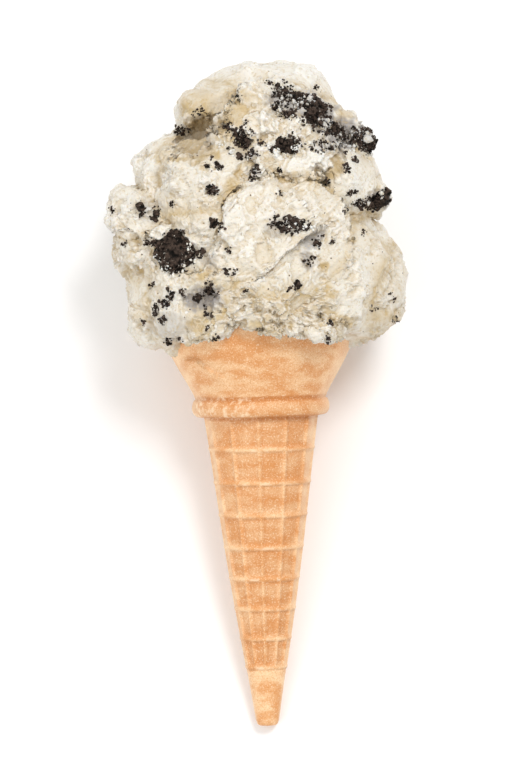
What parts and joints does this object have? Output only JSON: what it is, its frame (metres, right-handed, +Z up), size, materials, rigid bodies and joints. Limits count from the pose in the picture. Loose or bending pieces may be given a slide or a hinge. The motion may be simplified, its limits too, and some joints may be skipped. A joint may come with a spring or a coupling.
{
  "type": "ice cream cone",
  "caption": "Scoops of pale ice cream with dark biscuit pieces in a pointed, waffle-ribbed wafer cone, lying on its side.",
  "frame": {"origin": "centre of the bounding box's base, on the surface the cone lies on", "axes": "+Y runs along the cone from its pointed tip to the ice cream, +Z is up, which is the side shown in the picture, +X is to the right of that side"},
  "size_m": [0.082, 0.1838, 0.0713],
  "materials": {
    "wafer": "matte baked wafer, slightly rough",
    "cream": "soft matte frozen cream, slightly moist",
    "biscuit": "matte porous crumb"
  },
  "bodies": {
    "root": {"wafer_cone": "wafer", "ice_cream": "cream", "biscuit_crown": "biscuit", "biscuit_shoulder": "biscuit", "biscuit_side": "biscuit", "biscuit_middle": "biscuit", "biscuit_small": "biscuit", "biscuit_left": "biscuit", "biscuit_front": "biscuit", "biscuit_flank": "biscuit", "biscuit_back_top": "biscuit", "biscuit_back_left": "biscuit", "biscuit_back_right": "biscuit"}
  },
  "joints": []
}
